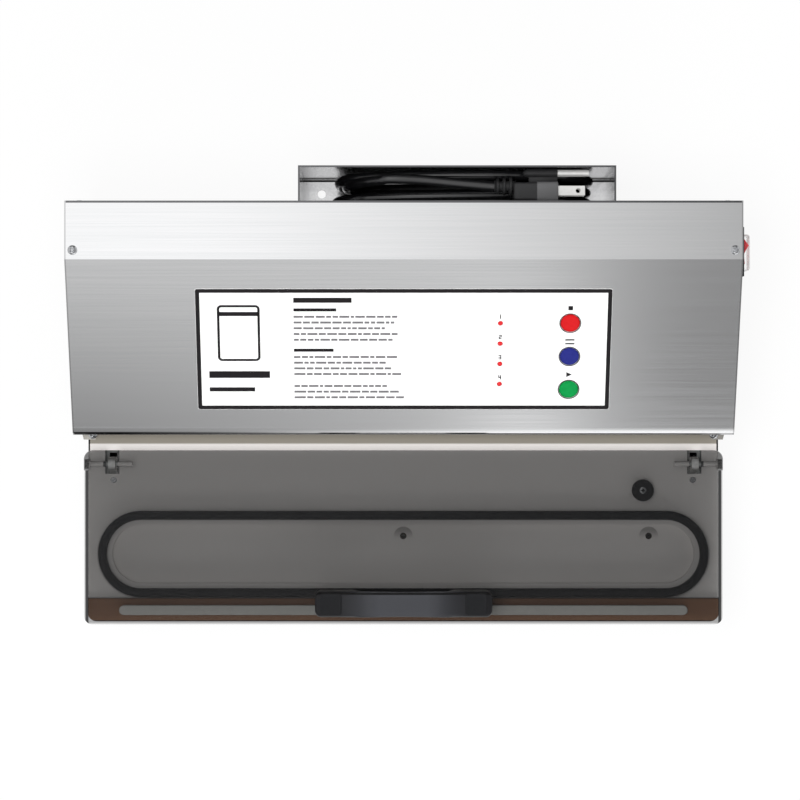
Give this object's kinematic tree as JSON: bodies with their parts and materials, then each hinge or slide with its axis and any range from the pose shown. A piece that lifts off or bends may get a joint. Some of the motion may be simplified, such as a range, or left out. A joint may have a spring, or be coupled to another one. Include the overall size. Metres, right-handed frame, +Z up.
{
  "type": "vacuum sealer",
  "caption": "Countertop vacuum sealer: steel housing with sloped control panel, hinged smoked lid with handle and gasket over a seal bar, rear cord bin with mains lead.",
  "frame": {"origin": "on the surface it stands on, under the middle of the machine's outline", "axes": "+X to the user's right, +Y to the rear, +Z up"},
  "size_m": [0.4482, 0.3046, 0.1771],
  "materials": {
    "stainless_steel": "fine brushed",
    "screw_steel": "bright zinc",
    "black_rubber": "matt",
    "grey_silicone": "matt",
    "smoked_acrylic": "polished, tinted grey",
    "black_nylon": "fine moulded grain",
    "printed_overlay": "printed film, white with a black border",
    "red_button": "moulded",
    "blue_button": "moulded",
    "green_button": "moulded",
    "red_lens": "clear tinted",
    "red_rocker": "moulded",
    "clear_vinyl": "clear, soft",
    "aluminium": "cast or drawn",
    "nickel_steel": "bright",
    "brown_ptfe": "coated glass cloth",
    "green_board": "solder mask",
    "brass": "turned",
    "lamination_steel": "varnished",
    "copper_wire": "enamelled winding",
    "clear_hose": "translucent silicone",
    "grey_plastic": "moulded",
    "black_pvc": "satin",
    "nickel_brass": "plated"
  },
  "bodies": {
    "base": {"base_pan": "stainless_steel", "deck_plate": "stainless_steel", "vacuum_trough": "stainless_steel", "housing_cover": "stainless_steel", "side_panel_left": "stainless_steel", "side_panel_right": "stainless_steel", "back_panel": "stainless_steel", "cord_bin": "stainless_steel", "case_screws": "screw_steel", "foot_screws": "screw_steel", "rubber_feet": "black_rubber", "pump_isolators": "black_rubber", "switch_frame": "black_nylon", "lid_switch_body": "black_nylon", "fan_frame": "black_nylon", "key_switches": "black_nylon", "cord_grommet": "black_nylon", "control_overlay": "printed_overlay", "indicator_lenses": "red_lens", "switch_boot": "clear_vinyl", "heat_bar": "aluminium", "pump_cylinder_left": "aluminium", "pump_cylinder_right": "aluminium", "pump_heads": "aluminium", "hinge_bracket_left": "nickel_steel", "hinge_bracket_right": "nickel_steel", "heating_ribbon": "nickel_steel", "ptfe_tape": "brown_ptfe", "control_board": "green_board", "board_standoffs": "brass", "port_fittings": "brass", "pump_stator": "lamination_steel", "transformer_core": "lamination_steel", "pump_bracket": "lamination_steel", "transformer_coil": "copper_wire", "vacuum_hose": "clear_hose", "sensor_hoses": "clear_hose", "vacuum_switch": "grey_plastic", "release_valve": "grey_plastic", "power_cord_lead": "black_pvc", "power_cord_hank": "black_pvc", "power_cord_tail": "black_pvc", "plug_body": "black_pvc", "plug_blades": "nickel_brass"},
    "lid_body": {"lid": "smoked_acrylic", "lid_gasket": "black_rubber", "seal_pad": "grey_silicone", "lid_handle": "black_nylon", "handle_caps": "black_nylon", "handle_screws": "screw_steel", "hinge_pins": "screw_steel"},
    "rocker_body": {"switch_rocker": "red_rocker"},
    "stop_button_body": {"stop_button": "red_button"},
    "seal_button_body": {"seal_button": "blue_button"},
    "start_button_body": {"start_button": "green_button"},
    "plunger_body": {"lid_switch_plunger": "black_rubber"},
    "fan_body": {"fan_rotor": "black_nylon"},
    "shaft_body": {"pump_shaft": "nickel_steel"},
    "piston_left_body": {"piston_left": "aluminium"},
    "piston_right_body": {"piston_right": "aluminium"}
  },
  "joints": [
    {"name": "lid_hinge", "type": "hinge", "parent": "base", "child": "lid_body", "pos_m": [0, -0.0451, 0.1003], "axis": [-1, 0, 0], "range_deg": [0, 100]},
    {"name": "rocker_pivot", "type": "hinge", "parent": "base", "child": "rocker_body", "pos_m": [0.2158, 0.0942, 0.15], "axis": [0, 0, 1], "range_deg": [0, 24]},
    {"name": "stop_press", "type": "slide", "parent": "base", "child": "stop_button_body", "axis": [0, 0.4686, -0.8834], "range_m": [0, 0.0006], "stiffness_N_per_m": 800},
    {"name": "seal_press", "type": "slide", "parent": "base", "child": "seal_button_body", "axis": [0, 0.4686, -0.8834], "range_m": [0, 0.0006], "stiffness_N_per_m": 800},
    {"name": "start_press", "type": "slide", "parent": "base", "child": "start_button_body", "axis": [0, 0.4686, -0.8834], "range_m": [0, 0.0006], "stiffness_N_per_m": 800},
    {"name": "plunger_press", "type": "slide", "parent": "base", "child": "plunger_body", "axis": [0, 0, -1], "range_m": [0, 0.003], "stiffness_N_per_m": 300},
    {"name": "fan_spin", "type": "hinge", "parent": "base", "child": "fan_body", "pos_m": [-0.15, 0.1162, 0.07], "axis": [0, 1, 0], "continuous": true},
    {"name": "pump_spin", "type": "hinge", "parent": "base", "child": "shaft_body", "pos_m": [-0.07, 0.055, 0.0542], "axis": [1, 0, 0], "continuous": true},
    {"name": "piston_left_slide", "type": "slide", "parent": "base", "child": "piston_left_body", "axis": [0, 0, 1], "range_m": [-0.0035, 0.0035]},
    {"name": "piston_right_slide", "type": "slide", "parent": "base", "child": "piston_right_body", "axis": [0, 0, 1], "range_m": [-0.0035, 0.0035]}
  ],
  "couplings": [
    {"joint": "piston_right_slide", "follows": "piston_left_slide", "ratio": -1}
  ]
}
